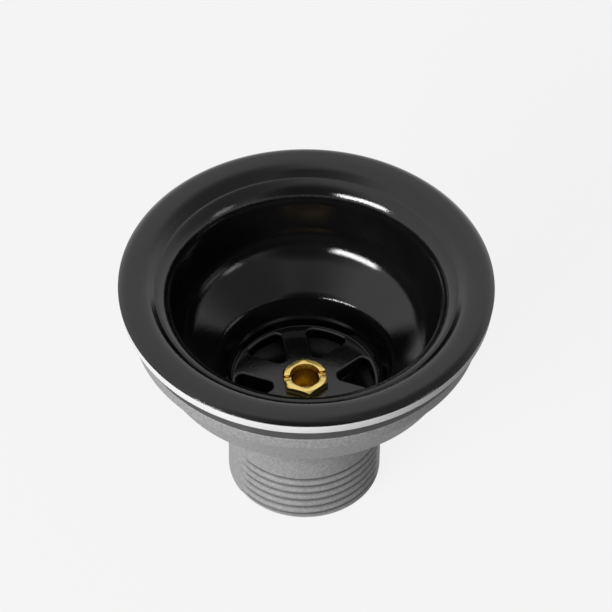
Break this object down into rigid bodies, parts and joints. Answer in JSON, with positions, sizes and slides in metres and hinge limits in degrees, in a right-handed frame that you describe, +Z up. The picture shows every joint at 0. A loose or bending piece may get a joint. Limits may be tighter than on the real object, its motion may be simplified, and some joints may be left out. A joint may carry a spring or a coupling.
{
  "type": "sink basket strainer waste",
  "caption": "Round flanged kitchen sink drain: a black strainer bowl with a spoked grate, clamped by a hollow brass screw to a grey funnel body with a threaded outlet tail and two ring seals.",
  "frame": {"origin": "on the drain's axis, at the open end of the threaded tail", "axes": "+Z up along the drain's axis, towards the flange; +X along a pair of grate openings and the slot in the screw"},
  "size_m": [0.114, 0.114, 0.0843],
  "materials": {
    "black_coat": "semi-gloss black coating on pressed steel",
    "white_rubber": "matt white",
    "black_rubber": "matt black",
    "grey_plastic": "moulded, slightly satin",
    "brass": "turned, dull bright"
  },
  "bodies": {
    "root": {"strainer_cup": "black_coat", "upper_seal": "white_rubber", "lower_seal": "black_rubber", "waste_body": "grey_plastic", "centre_screw": "brass", "thread_insert": "brass"}
  },
  "joints": []
}
